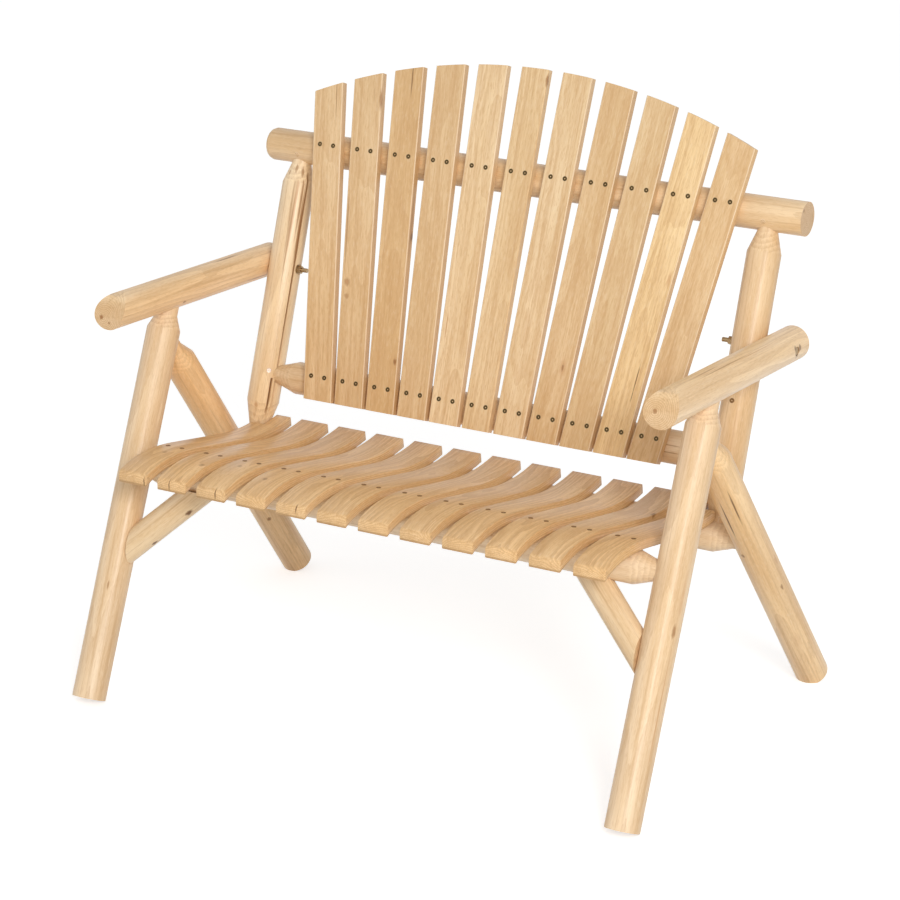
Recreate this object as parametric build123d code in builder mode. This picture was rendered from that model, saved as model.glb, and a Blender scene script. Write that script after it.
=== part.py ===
from build123d import *

import os
from math import asin, cos, degrees, radians, sin, sqrt, tan

# Rustic two-seat log bench: peeled softwood logs joined with round pencil-point tenons,
# a fan-shaped slatted back and a wavy slatted seat. Millimetres, +Z up, +Y to the back.
# The origin is on the floor, in the middle of the bench's footprint.

os.makedirs("parts", exist_ok=True)

# --- Round stock ------------------------------------------------------------------
leg_radius = 29.7           # front and rear legs
log_radius = 29.5           # rails and back posts
arm_radius = 29.8
brace_radius = 25.0
rail_end_arris = 4.0        # chamfer round a rail's sawn end
front_foot_arris = 3.0
rear_foot_arris = 6.0
foot_flat = 1.5             # height trimmed off each foot so that it stands flat

# --- Round tenons and their sockets -----------------------------------------------
tenon_radius = 18.0
leg_tenon_radius = 19.0     # the stouter tenon that carries an armrest
pencil_length = 36.0        # how long the shaved point is, from log to tenon
leg_pencil_length = 26.0
post_foot_pencil_length = 45.0
post_foot_neck = 6.0       # straight neck of a post's foot, where it passes the end slat
tenon_past_axis = 8.0       # a tenon ends this far past its mate's centre line
socket_clearance = 0.25
socket_end_gap = 1.5
shoulder_gap = 0.6          # between the shaved shoulder and the log it enters
leg_shoulder_gap = 1.8      # the same below an armrest, where the point flares steeply

# --- Legs ----------------------------------------------------------------------------
leg_x = 520.0               # centre of a front leg from the middle of the bench
front_rake = 23.72          # front legs lean back
rear_rake = 38.02           # rear legs lean forward
rear_splay = 2.2            # and spread outwards towards the floor
rear_leg_x = 517.0          # centre of a rear leg where it meets its front leg
leg_meet_height = 604.5     # where the two leg lines cross

# --- Seat ------------------------------------------------------------------------------
seat_slat_count = 12
seat_slat_width = 57.2
seat_slat_gap = 21.9
seat_slat_thickness = 17.5
crest_setback = 107.0       # top of the seat's hump, behind the front feet
crest_height = 443.5
nose_reach = 71.5           # the seat's side-view curve, from front to back
nose_radius = 220.0
hump_radius = 430.0
slope_angle = 11.7
slope_length = 157.6
hollow_radius = 430.0
rear_rise = 8.4
front_arris_round = 11.0
notch_clearance = 5.0       # round the post that passes an end slat's rear corner

# --- Back ------------------------------------------------------------------------------
back_rake = 19.6
back_slat_count = 11
back_slat_width = 57.5
middle_slat_width = 53.0    # the slat in the middle is cut a little narrower
back_slat_thickness = 16.0
lower_pitch = 65.8          # slat spacing at the lower screws
upper_pitch = 77.8          # slat spacing at the upper screws
lower_rail_up = 133.2       # distances up the back, from the rear seat rail
lower_screws_up = 144.3
upper_screws_up = 556.8
upper_rail_up = 547.8
slat_bottom_up = 100.4
arch_top_up = 737.8
arch_radius = 1084.0
back_edge_arris = 1.5
upper_rail_half_length = 527.0
post_x = 460.5

# --- Armrests --------------------------------------------------------------------------
arm_pitch = 3.75            # the arms fall towards the back
arm_bolt_up = 327.5         # height of the bolt up the post, from the rear seat rail
arm_reach_front = 473.0     # from the bolt to the tip of the rounded front end
arm_reach_rear = 51.0
arm_nose_radius = 50.0      # rounds the front end over, from the arm's top downwards
arm_rear_arris = 6.0

# --- Knee braces -----------------------------------------------------------------------
brace_run = 164.5           # along the front rail, and the same down the leg
brace_seat_depth = 1.5      # flat planed on the leg and the rail for each brace end
brace_seat_gap = 2.0        # how far the flat runs past the brace, at each end

# --- Armrest bolts ---------------------------------------------------------------------
bolt_radius = 4.0
bolt_clearance = 0.3        # in the wood, and inside the washer
thread_clearance = 0.1
bolt_head_radius = 6.5
bolt_head_height = 8.0
bolt_head_recess = 1.2
counterbore_radius = 8.0
spotface_radius = 10.0      # flat on the post's inside for the washer
washer_radius = 8.5
washer_thickness = 1.6
nut_across_flats = 13.0
nut_height = 6.5
bolt_tip = 12.0             # bolt end standing out of the nut

# --- Natural grooves in the left post --------------------------------------------------
groove_width = 5.0
groove_depth = 6.0
long_groove_swing = 65.0    # degrees round the post, from its front towards the inside
short_groove_swing = 49.0

SIDES = {"left": -1, "right": 1}


def save(piece, name):
    """Label a finished sub-part and write it under its own name."""
    piece.label = name
    export_step(piece, f"parts/{name}.step")


# --- Lay-out in the side view ----------------------------------------------------------
def foot_height(rake, arris):
    """Height of a leaning leg's end centre when its trimmed, chamfered foot is on the floor."""
    return (leg_radius - arris) * sin(radians(rake)) - foot_flat


def foot_reach(rake, arris):
    """How far a foot reaches past its end centre on the side away from the bench."""
    return leg_radius * cos(radians(rake)) - arris * sin(radians(rake))


def meet_circle(point, direction, centre, radius):
    """The first place down a line where it is at this radius from a centre."""
    to_point = point - centre
    half_b = to_point.dot(direction)
    inside = half_b**2 - (to_point.dot(to_point) - radius**2)
    near, far = -half_b - sqrt(inside), -half_b + sqrt(inside)
    return point + direction * (near if near > 0 else far)


front_foot_z = foot_height(front_rake, front_foot_arris)
rear_foot_z = foot_height(rear_rake, rear_foot_arris)
foot_spacing = (
    (leg_meet_height - front_foot_z) * tan(radians(front_rake))
    + (leg_meet_height - rear_foot_z) * tan(radians(rear_rake))
)
front_reach = foot_reach(front_rake, front_foot_arris)
rear_reach = foot_reach(rear_rake, rear_foot_arris)
front_foot_y = -(foot_spacing + rear_reach - front_reach) / 2

front_up = Vector(0, sin(radians(front_rake)), cos(radians(front_rake)))
leg_meet = Vector(
    0,
    front_foot_y + (leg_meet_height - front_foot_z) * tan(radians(front_rake)),
    leg_meet_height,
)
rear_down = Vector(0, sin(radians(rear_rake)), -cos(radians(rear_rake)))
back_up = Vector(0, sin(radians(back_rake)), cos(radians(back_rake)))
back_front = Vector(0, -cos(radians(back_rake)), sin(radians(back_rake)))

# The slats rest on the rails: each rail's centre is one slat and one radius below the
# seat's curve, on the line of the legs that carry it.
crest = Vector(0, front_foot_y + crest_setback, crest_height)
slope_y, slope_z = cos(radians(slope_angle)), -sin(radians(slope_angle))
hump_centre = crest - Vector(0, 0, hump_radius)
hump_end = hump_centre + Vector(0, -slope_z, slope_y) * hump_radius
hollow_start = hump_end + Vector(0, slope_y, slope_z) * slope_length
hollow_centre = hollow_start + Vector(0, -slope_z, slope_y) * hollow_radius
rail_drop = seat_slat_thickness + log_radius
front_rail_axis = meet_circle(leg_meet, -front_up, hump_centre, hump_radius - rail_drop)
rear_rail_axis = meet_circle(leg_meet, rear_down, hollow_centre, hollow_radius + rail_drop)

lower_rail_axis = rear_rail_axis + back_up * lower_rail_up
upper_rail_axis = rear_rail_axis + back_up * upper_rail_up
bolt_axis = rear_rail_axis + back_up * arm_bolt_up
arm_x = post_x + log_radius + arm_radius
arm_back = Vector(0, cos(radians(arm_pitch)), -sin(radians(arm_pitch)))


# --- Log and socket makers -------------------------------------------------------------
def shoulder_distance(mate_radius, radius, lean):
    """From a mate's centre line to where a tenon's shaved shoulder would touch the mate."""
    return (mate_radius + radius * abs(cos(radians(lean)))) / sin(radians(lean))


def round_log(base, tip, radius, tenons=(None, None), arrises=(0, 0)):
    """A peeled log turned about the line from base to tip.

    Each end is a tenon, given as (radius, length, length of its shaved point), or a
    sawn end with a chamfered arris.
    """
    length = (tip - base).length
    grain = (tip - base).normalized()
    side = grain.cross(Vector(0, 0, 1) if abs(grain.Z) < 0.9 else Vector(1, 0, 0)).normalized()

    def end_points(tenon):
        if tenon is None:
            return [(0, radius)]
        pin_radius, pin_length, point = tenon
        return [(0, pin_radius), (pin_length, pin_radius), (pin_length + point, radius)]

    base_points = end_points(tenons[0])
    tip_points = [(length - along, out) for along, out in reversed(end_points(tenons[1]))]
    with BuildPart() as log:
        with BuildSketch(Plane(origin=base, x_dir=grain, z_dir=side)) as outline:
            with BuildLine():
                Polyline((0, 0), *base_points, *tip_points, (length, 0), close=True)
            make_face()
            for arris, corner in zip(arrises, (base, tip)):
                if arris:
                    rim = outline.vertices().sort_by_distance(corner + side.cross(grain) * radius)
                    chamfer(rim[0], length=arris)
        revolve(axis=Axis(base, grain))
    return log.part


def socket(meet, inward, mate_radius, pin_radius):
    """Inside a part block: the blind round hole for a tenon that comes in along inward."""
    with Locations(Plane(origin=meet - inward * 2 * mate_radius, z_dir=-inward)):
        Hole(pin_radius + socket_clearance, 2 * mate_radius + tenon_past_axis + socket_end_gap)


def flat_seat(on_axis, outward, along, mate_radius):
    """Inside a part block: a shallow flat planed on a log for the end of a brace.

    The brace leaves the log's centre line at 45 degrees, between outward and along.
    """
    seat = on_axis + (outward + along) * (mate_radius - brace_seat_depth)
    with Locations(Plane(origin=seat, x_dir=along, z_dir=outward)):
        Box(
            2 * brace_radius / sin(radians(45)) + 2 * brace_seat_gap,
            2 * mate_radius,
            2 * brace_seat_depth,
            align=(Align.CENTER, Align.CENTER, Align.MIN),
            mode=Mode.SUBTRACT,
        )


def save_group(solids, name):
    """Write like fasteners together, as separate solids in one node."""
    save(Compound(children=list(solids)), name)


# --- Where the logs run ----------------------------------------------------------------
def at_x(point, x):
    """A side-view point moved to its place across the bench."""
    return Vector(x, point.Y, point.Z)


def front_leg_point(side, height):
    run = (height - front_foot_z) * tan(radians(front_rake))
    return Vector(side * leg_x, front_foot_y + run, height)


def rear_leg_point(side, height):
    drop = leg_meet_height - height
    return Vector(
        side * (rear_leg_x + drop * tan(radians(rear_splay))),
        leg_meet.Y + drop * tan(radians(rear_rake)),
        height,
    )


def rear_leg_up(side):
    return (rear_leg_point(side, leg_meet_height) - rear_leg_point(side, rear_foot_z)).normalized()


def post_look(side, swing):
    """Direction out of a post's surface, swung from its front towards the inside."""
    return back_front * cos(radians(swing)) - Vector(side, 0, 0) * sin(radians(swing))


def arm_meet(side):
    """Where a front leg's line passes the centre line of its armrest."""
    foot = front_leg_point(side, front_foot_z)
    gap_y, gap_z = bolt_axis.Y - foot.Y, bolt_axis.Z - foot.Z
    fall = tan(radians(arm_pitch))
    travel = (gap_z + gap_y * fall) / (front_up.Z + front_up.Y * fall)
    return foot + front_up * travel


arm_lean = 90 - front_rake + arm_pitch          # between a front leg and its armrest
leg_cross = front_rake + rear_rake              # between a front and a rear leg
washer_seat = sqrt(log_radius**2 - spotface_radius**2)   # from the post's centre
bolt_seat = arm_radius - bolt_head_height - bolt_head_recess  # from the arm's centre
brace_drop_point = front_rail_axis - front_up * brace_run


# --- Front legs ------------------------------------------------------------------------
def front_leg(side):
    """Leaning log with a square-sawn foot and a stout tenon up into the armrest."""
    foot = front_leg_point(side, front_foot_z)
    top = arm_meet(side) + front_up * tenon_past_axis
    shoulder = shoulder_distance(arm_radius, leg_tenon_radius, arm_lean) + leg_shoulder_gap
    tenon = shoulder + tenon_past_axis
    inward = Vector(-side, 0, 0)
    with BuildPart() as leg:
        add(
            round_log(
                foot,
                top,
                leg_radius,
                tenons=(None, (leg_tenon_radius, tenon, leg_pencil_length)),
                arrises=(front_foot_arris, 0),
            )
        )
        socket(at_x(front_rail_axis, side * leg_x), -inward, leg_radius, tenon_radius)
        socket(
            rear_leg_point(side, leg_meet_height), rear_leg_up(side), leg_radius, tenon_radius
        )
        flat_seat(at_x(brace_drop_point, side * leg_x), inward, front_up, leg_radius)
        split(bisect_by=Plane.XY, keep=Keep.TOP)
    return leg.part


# --- Rear legs -------------------------------------------------------------------------
def rear_leg(side):
    """Log that leans forward from the floor and is tenoned into the back of a front leg."""
    foot = rear_leg_point(side, rear_foot_z)
    up = rear_leg_up(side)
    top = rear_leg_point(side, leg_meet_height) + up * tenon_past_axis
    shoulder = shoulder_distance(leg_radius, tenon_radius, leg_cross) + shoulder_gap
    tenon = shoulder + tenon_past_axis
    with BuildPart() as leg:
        add(
            round_log(
                foot,
                top,
                leg_radius,
                tenons=(None, (tenon_radius, tenon, pencil_length)),
                arrises=(rear_foot_arris, 0),
            )
        )
        socket(
            rear_leg_point(side, rear_rail_axis.Z), Vector(side, 0, 0), leg_radius, tenon_radius
        )
        split(bisect_by=Plane.XY, keep=Keep.TOP)
    return leg.part


# --- Rails -----------------------------------------------------------------------------
def tenoned_rail(axis, half_span, mate_radius):
    """A rail between two mates whose centre lines are half_span from the middle."""
    half_length = half_span + tenon_past_axis
    tenon = shoulder_distance(mate_radius, tenon_radius, 90) + shoulder_gap + tenon_past_axis
    return round_log(
        at_x(axis, -half_length),
        at_x(axis, half_length),
        log_radius,
        tenons=((tenon_radius, tenon, pencil_length),) * 2,
    )


with BuildPart() as front_seat_rail:
    add(tenoned_rail(front_rail_axis, leg_x, leg_radius))
    for side in SIDES.values():
        flat_seat(
            at_x(front_rail_axis, side * (leg_x - brace_run)),
            -front_up,
            Vector(side, 0, 0),
            log_radius,
        )
save(front_seat_rail.part, "front_seat_rail")

with BuildPart() as rear_seat_rail:
    add(
        tenoned_rail(
            rear_rail_axis, abs(rear_leg_point(1, rear_rail_axis.Z).X), leg_radius
        )
    )
    for side in SIDES.values():
        socket(at_x(rear_rail_axis, side * post_x), -back_up, log_radius, tenon_radius)
save(rear_seat_rail.part, "rear_seat_rail")

save(tenoned_rail(lower_rail_axis, post_x, log_radius), "lower_back_rail")

# The upper rail lies on both posts and runs past them.
with BuildPart() as upper_back_rail:
    add(
        round_log(
            at_x(upper_rail_axis, -upper_rail_half_length),
            at_x(upper_rail_axis, upper_rail_half_length),
            log_radius,
            arrises=(rail_end_arris, rail_end_arris),
        )
    )
    for side in SIDES.values():
        socket(at_x(upper_rail_axis, side * post_x), back_up, log_radius, tenon_radius)
save(upper_back_rail.part, "upper_back_rail")


# --- Back posts ------------------------------------------------------------------------
def back_post(side):
    """Log from the rear seat rail to the upper back rail, shaved at both ends."""
    base = at_x(rear_rail_axis, side * post_x) - back_up * tenon_past_axis
    tip = at_x(upper_rail_axis, side * post_x) + back_up * tenon_past_axis
    tenon = shoulder_distance(log_radius, tenon_radius, 90) + shoulder_gap + tenon_past_axis
    foot_tenon = tenon + post_foot_neck
    bolt = at_x(bolt_axis, side * post_x)
    outward = Vector(side, 0, 0)
    with BuildPart() as post:
        add(
            round_log(
                base,
                tip,
                log_radius,
                tenons=(
                    (tenon_radius, foot_tenon, post_foot_pencil_length),
                    (tenon_radius, tenon, pencil_length),
                ),
            )
        )
        socket(at_x(lower_rail_axis, side * post_x), outward, log_radius, tenon_radius)
        with Locations(Plane(origin=bolt - outward * 2 * log_radius, z_dir=-outward)):
            Hole(bolt_radius + bolt_clearance)
            Hole(spotface_radius, 2 * log_radius - washer_seat)
        if side < 0:
            groove(base, long_groove_swing, (tip - base).length)
            groove(base, short_groove_swing, lower_rail_up)
    return post.part


def groove(base, swing, length):
    """Inside the left post's block: a straight natural groove that starts at its foot."""
    look = post_look(-1, swing)
    across = back_up.cross(look)
    mouth = base + look * log_radius
    bottom = base + look * (log_radius - groove_depth)
    corners = (mouth - across * groove_width / 2, mouth + across * groove_width / 2, bottom)
    section = Face(Wire.make_polygon(corners))
    extrude(section, amount=length, dir=back_up, mode=Mode.SUBTRACT)


# --- Armrests --------------------------------------------------------------------------
def nose_waste(side):
    """What is sawn off an armrest's overlong log to round its front end over."""
    arm_up = Vector(0, -arm_back.Z, arm_back.Y)
    centre = (
        at_x(bolt_axis, side * arm_x)
        - arm_back * (arm_reach_front - arm_nose_radius)
        + arm_up * (arm_radius - arm_nose_radius)
    )
    side_view = Plane(origin=centre, x_dir=-arm_back, z_dir=(1, 0, 0))
    with BuildPart(side_view) as waste:
        Box(
            3 * arm_nose_radius,
            3 * arm_nose_radius,
            3 * arm_radius,
            align=(Align.MIN, Align.CENTER, Align.CENTER),
        )
        Cylinder(arm_nose_radius, 3 * arm_radius, mode=Mode.SUBTRACT)
    return waste.part


def armrest(side):
    """Log bolted to the outside of its post and resting on its front leg's tenon."""
    bolt = at_x(bolt_axis, side * arm_x)
    outward = Vector(side, 0, 0)
    with BuildPart() as arm:
        add(
            round_log(
                bolt + arm_back * arm_reach_rear,
                bolt - arm_back * (arm_reach_front + arm_radius),
                arm_radius,
                arrises=(arm_rear_arris, 0),
            )
        )
        add(nose_waste(side), mode=Mode.SUBTRACT)
        socket(at_x(arm_meet(side), side * leg_x), front_up, arm_radius, leg_tenon_radius)
        with Locations(Plane(origin=bolt + outward * 2 * arm_radius, z_dir=outward)):
            Hole(bolt_radius + bolt_clearance)
            Hole(counterbore_radius, 2 * arm_radius - bolt_seat)
    return arm.part


# --- Knee braces -----------------------------------------------------------------------
def knee_brace(side):
    """45 degree strut between a front leg and the front seat rail, sawn flat at both ends."""
    on_leg = at_x(brace_drop_point, side * leg_x)
    on_rail = at_x(front_rail_axis, side * (leg_x - brace_run))
    leg_face = Plane(
        origin=on_leg - Vector(side, 0, 0) * (leg_radius - brace_seat_depth),
        z_dir=(-side, 0, 0),
    )
    rail_face = Plane(
        origin=on_rail - front_up * (log_radius - brace_seat_depth), z_dir=-front_up
    )
    with BuildPart() as brace:
        add(round_log(on_leg, on_rail, brace_radius))
        split(bisect_by=leg_face, keep=Keep.TOP)
        split(bisect_by=rail_face, keep=Keep.TOP)
    return brace.part


for side_name, side in SIDES.items():
    save(front_leg(side), f"front_leg_{side_name}")
    save(rear_leg(side), f"rear_leg_{side_name}")
    save(back_post(side), f"back_post_{side_name}")
    save(armrest(side), f"armrest_{side_name}")
    save(knee_brace(side), f"knee_brace_{side_name}")


# --- Back slats ------------------------------------------------------------------------
# All lie in one leaning plane against the two back rails. They fan out upwards, are cut
# level along the bottom and follow one arch along the top.
back_face = Plane(
    origin=rear_rail_axis + back_front * log_radius, x_dir=(1, 0, 0), z_dir=back_front
)
fan_spread = (upper_pitch - lower_pitch) / (upper_screws_up - lower_screws_up)


def back_slat_x(index, up):
    """Middle of a back slat at a height up the back; index 0 is the middle slat."""
    return index * (lower_pitch + fan_spread * (up - lower_screws_up))


def back_slat(index):
    width = back_slat_width if index else middle_slat_width
    half_level = width / 2 * sqrt(1 + (index * fan_spread) ** 2)
    low, high = back_slat_x(index, slat_bottom_up), back_slat_x(index, arch_top_up)
    with BuildPart() as slat:
        with BuildSketch(back_face):
            with BuildLine():
                Polyline(
                    (low - half_level, slat_bottom_up),
                    (low + half_level, slat_bottom_up),
                    (high + half_level, arch_top_up),
                    (high - half_level, arch_top_up),
                    close=True,
                )
            make_face()
            with Locations((0, arch_top_up - arch_radius)):
                Circle(arch_radius, mode=Mode.INTERSECT)
        extrude(amount=back_slat_thickness)
        long_edges = slat.edges().sort_by(SortBy.LENGTH)[-4:]
        chamfer(long_edges, length=back_edge_arris)
    return slat.part


middle_back_slat = (back_slat_count - 1) / 2
back_slat_indices = [number - middle_back_slat for number in range(back_slat_count)]
for number, index in enumerate(back_slat_indices, start=1):
    save(back_slat(index), f"back_slat_{number:02d}")


# --- Seat slats ------------------------------------------------------------------------
seat_pitch = seat_slat_width + seat_slat_gap
middle_seat_slat = (seat_slat_count - 1) / 2
notch_side_x = post_x - tenon_radius - notch_clearance
post_lean_at_slat = (log_radius + seat_slat_thickness / 2) * back_up.Y
notch_front = rear_rail_axis.Y + post_lean_at_slat - tenon_radius - notch_clearance


def seat_line(depth):
    """Inside a line block: the seat's curve this far below its top; returns both ends."""
    top = (crest.Y, crest.Z - depth)
    nose_angle = degrees(asin(nose_reach / (nose_radius - depth)))
    nose = JernArc(top, (-1, 0), nose_radius - depth, nose_angle)
    hump = JernArc(top, (1, 0), hump_radius - depth, -slope_angle)
    slope = Line(hump @ 1, hump @ 1 + (hump % 1) * slope_length)
    hollow = JernArc(slope @ 1, slope % 1, hollow_radius + depth, slope_angle + rear_rise)
    return nose @ 1, hollow @ 1


def seat_slat(number):
    """One sawn and sanded wavy board; the two end boards are notched round the posts."""
    middle = (number - middle_seat_slat) * seat_pitch
    with BuildPart() as slat:
        with BuildSketch(Plane.YZ.offset(middle - seat_slat_width / 2)) as outline:
            with BuildLine():
                front_top, rear_top = seat_line(0)
                front_low, rear_low = seat_line(seat_slat_thickness)
                Line(front_top, front_low)
                Line(rear_top, rear_low)
            make_face()
            fillet(outline.vertices().sort_by_distance(front_top)[0], radius=front_arris_round)
        extrude(amount=seat_slat_width)
        outer = 1 if middle > 0 else -1
        if abs(middle) + seat_slat_width / 2 > notch_side_x:
            with Locations((outer * notch_side_x, notch_front, rear_rail_axis.Z)):
                Box(
                    seat_slat_width,
                    crest_height,
                    crest_height,
                    align=(Align.MIN if outer > 0 else Align.MAX, Align.MIN, Align.CENTER),
                    mode=Mode.SUBTRACT,
                )
    return slat.part


for number in range(seat_slat_count):
    save(seat_slat(number), f"seat_slat_{number + 1:02d}")


# --- Armrest bolts ---------------------------------------------------------------------
def bolt_place(side, distance):
    """On a bolt's line, this far from the back post's centre towards the bench's middle."""
    return Plane(origin=at_x(bolt_axis, side * (post_x - distance)), z_dir=(-side, 0, 0))


def arm_bolt(side):
    """Round-headed bolt through armrest and post; its head sits in the counterbore."""
    nut_end = washer_seat + washer_thickness + nut_height
    head_bottom = -(arm_x - post_x) - bolt_seat
    with BuildPart(bolt_place(side, head_bottom)) as bolt:
        Cylinder(
            bolt_radius,
            nut_end + bolt_tip - head_bottom,
            align=(Align.CENTER, Align.CENTER, Align.MIN),
        )
        Cylinder(
            bolt_head_radius,
            bolt_head_height,
            align=(Align.CENTER, Align.CENTER, Align.MAX),
        )
    return bolt.part


def arm_washer(side):
    with BuildPart() as washer:
        with BuildSketch(bolt_place(side, washer_seat)):
            Circle(washer_radius)
            Circle(bolt_radius + bolt_clearance, mode=Mode.SUBTRACT)
        extrude(amount=washer_thickness)
    return washer.part


def arm_nut(side):
    with BuildPart() as nut:
        with BuildSketch(bolt_place(side, washer_seat + washer_thickness)):
            RegularPolygon(nut_across_flats / 2, 6, major_radius=False)
            Circle(bolt_radius + thread_clearance, mode=Mode.SUBTRACT)
        extrude(amount=nut_height)
    return nut.part


save_group((arm_bolt(side) for side in SIDES.values()), "arm_bolts")
save_group((arm_washer(side) for side in SIDES.values()), "arm_bolt_washers")
save_group((arm_nut(side) for side in SIDES.values()), "arm_bolt_nuts")
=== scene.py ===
"""A rustic two-seat log bench: peeled softwood logs, a fan of back slats and a wavy seat."""

import math
import random

import bpy
from mathutils import Matrix, Vector


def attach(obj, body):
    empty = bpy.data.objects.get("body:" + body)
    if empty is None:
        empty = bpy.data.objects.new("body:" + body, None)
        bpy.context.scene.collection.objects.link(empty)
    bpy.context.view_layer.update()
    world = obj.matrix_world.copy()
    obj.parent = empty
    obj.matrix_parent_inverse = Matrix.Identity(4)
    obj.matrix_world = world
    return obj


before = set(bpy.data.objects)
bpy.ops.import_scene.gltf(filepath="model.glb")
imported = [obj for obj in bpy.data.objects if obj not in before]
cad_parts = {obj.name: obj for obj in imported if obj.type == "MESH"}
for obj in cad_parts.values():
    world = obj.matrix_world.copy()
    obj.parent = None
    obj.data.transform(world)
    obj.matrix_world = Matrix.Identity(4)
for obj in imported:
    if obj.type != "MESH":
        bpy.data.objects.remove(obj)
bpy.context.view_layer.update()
scene = bpy.context.scene
scene.view_settings.view_transform = "Standard"
bpy.ops.object.select_all(action="DESELECT")

# === Camera =======================================================================
# A long lens, a little to the bench's right and above it. The small shift sets the
# bench in the middle of the frame.
camera_place = (2.4357, -4.3539, 2.2492)
camera_azimuth = math.radians(29.45)
camera_elevation = math.radians(20.40)

bpy.ops.object.camera_add(
    location=camera_place, rotation=(math.pi / 2 - camera_elevation, 0, camera_azimuth)
)
camera = bpy.context.object
camera.data.sensor_width = 36
camera.data.lens = 123.28
camera.data.shift_x = 0.0149
camera.data.shift_y = 0.0342
scene.camera = camera

# === Studio =======================================================================
# A white floor in a white room. The camera and reflections see it as plain white, and
# its light on the bench is softer. The main light comes from close to the camera.
white = (1, 1, 1, 1)
room_light = 0.50
floor_size = 60
floor_glow = 0.62
floor_grey = (0.72, 0.72, 0.72, 1)

room = bpy.data.worlds.new("room")
scene.world = room
room.use_nodes = True
background = room.node_tree.nodes["Background"]
background.inputs["Color"].default_value = white


def feed(tree, source, socket):
    """Link an output into an input, or set the input to a plain value."""
    if isinstance(source, bpy.types.NodeSocket):
        tree.links.new(source, socket)
    else:
        socket.default_value = source


def calculate(tree, operation, first, second=0.0):
    """One Math node on two values; each is a socket or a number."""
    step = tree.nodes.new("ShaderNodeMath")
    step.operation = operation
    feed(tree, first, step.inputs[0])
    feed(tree, second, step.inputs[1])
    return step.outputs[0]


def seen_directly(tree):
    """1 where a ray comes from the camera, a reflection or clear glass, and otherwise 0."""
    path = tree.nodes.new("ShaderNodeLightPath").outputs
    nearly = calculate(tree, "MAXIMUM", path["Is Camera Ray"], path["Is Glossy Ray"])
    return calculate(tree, "MAXIMUM", nearly, path["Is Transmission Ray"])


def level(tree, value, low, high):
    """A value from 0 to 1 turned into a strength from low to high."""
    spread = tree.nodes.new("ShaderNodeMapRange")
    spread.inputs["To Min"].default_value = low
    spread.inputs["To Max"].default_value = high
    tree.links.new(value, spread.inputs["Value"])
    return spread.outputs["Result"]


def new_finish(name):
    """A material with nodes, and its node tree."""
    finish = bpy.data.materials.new(name)
    finish.use_nodes = True
    return finish, finish.node_tree


room.node_tree.links.new(
    level(room.node_tree, seen_directly(room.node_tree), room_light, 1.0),
    background.inputs["Strength"],
)

bpy.ops.mesh.primitive_plane_add(size=floor_size, location=(0, 0, 0))
floor = bpy.context.object
floor.name = "floor"
floor_paint, floor_tree = new_finish("floor white")
floor_shader = floor_tree.nodes["Principled BSDF"]
floor_shader.inputs["Base Color"].default_value = floor_grey
floor_shader.inputs["Roughness"].default_value = 1.0
floor_shader.inputs["Specular IOR Level"].default_value = 0.0
floor_shader.inputs["Emission Color"].default_value = white
floor_tree.links.new(
    level(floor_tree, seen_directly(floor_tree), 0.0, floor_glow),
    floor_shader.inputs["Emission Strength"],
)
floor.data.materials.append(floor_paint)

lamps_aim = Vector((0, 0, 0.5))
for lamp_name, lamp_place, lamp_width, lamp_power in (
    ("key light", (4.4, -4.9, 3.9), 1.9, 260),
    ("low light", (3.4, -5.4, 0.8), 3.0, 70),
    ("left light", (-4.8, -3.2, 2.4), 3.0, 25),
):
    bpy.ops.object.light_add(type="AREA", location=lamp_place)
    lamp = bpy.context.object
    lamp.name = lamp_name
    lamp.data.size = lamp_width
    lamp.data.energy = lamp_power
    look = lamps_aim - Vector(lamp_place)
    lamp.rotation_euler = look.to_track_quat("-Z", "Y").to_euler()

# === Front legs ===================================================================
# Two softwood poles, peeled by hand and clear-varnished. Each leans back from its
# square-sawn foot and ends in a shaved tenon, which is glued up into its armrest.
log_pale = (0.90, 0.69, 0.46, 1)
log_warm = (0.81, 0.575, 0.335, 1)
log_deep = (0.50, 0.28, 0.115, 1)
crack_brown = (0.15, 0.06, 0.016, 1)
knot_brown = (0.33, 0.145, 0.045, 1)
rosy_brown = (0.58, 0.31, 0.14, 1)
# The pale colour of light flecks in the grain, and of painted highlights on the front leg and the
# slat arrises.
pale_fleck_and_highlight = (0.90, 0.74, 0.54, 1)
wander_grain = (14, 2.4, 2)
patch_grain, patch_band = (26, 2.2, 3), (0.35, 0.65)
streak_grain, streak_band = (150, 3.5, 4), (0.48, 0.74)
fibre_grain, fibre_band = (560, 13, 2), (0.46, 0.66)
fleck_grain = (520, 85, 1)
dark_fleck_band, light_fleck_band = (0.54, 0.68), (0.44, 0.30)
late_wood_band = (0.1, 0.9)
streak_depth, fibre_depth = 0.45, 0.32
dark_fleck_depth, light_fleck_depth = 0.36, 0.16
streak_relief, fibre_relief = 0.6, 0.4
mark_grain, mark_unevenness = (1.6, 1.6, 3), 0.8
mark_edge = (1.35, 0.75)
side_rings, more_end_rings = 0.22, 0.30
end_band = (0.55, 0.90)
end_soak = 0.40
varnish_roughness, pore_roughness = 0.26, 0.16
varnish_shine = 0.32
wood_relief, wood_relief_strength = 0.0006, 0.5
weld_distance = 1e-5
crease_angle = math.radians(38)
sharp_angle = math.radians(60)
front_leg_x, front_leg_y, front_leg_z = 0.52, -0.2570, 0.2410
front_rake = math.radians(23.72)
bench_across = Vector((1, 0, 0))
front_leg_up = Vector((0, math.sin(front_rake), math.cos(front_rake)))


def vector_calculate(tree, operation, first, second=(0, 0, 0)):
    """One Vector Math node; gives its only live output, a vector or a number."""
    step = tree.nodes.new("ShaderNodeVectorMath")
    step.operation = operation
    feed(tree, first, step.inputs[0])
    feed(tree, second, step.inputs[1])
    return next(output for output in step.outputs if output.enabled)


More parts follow.
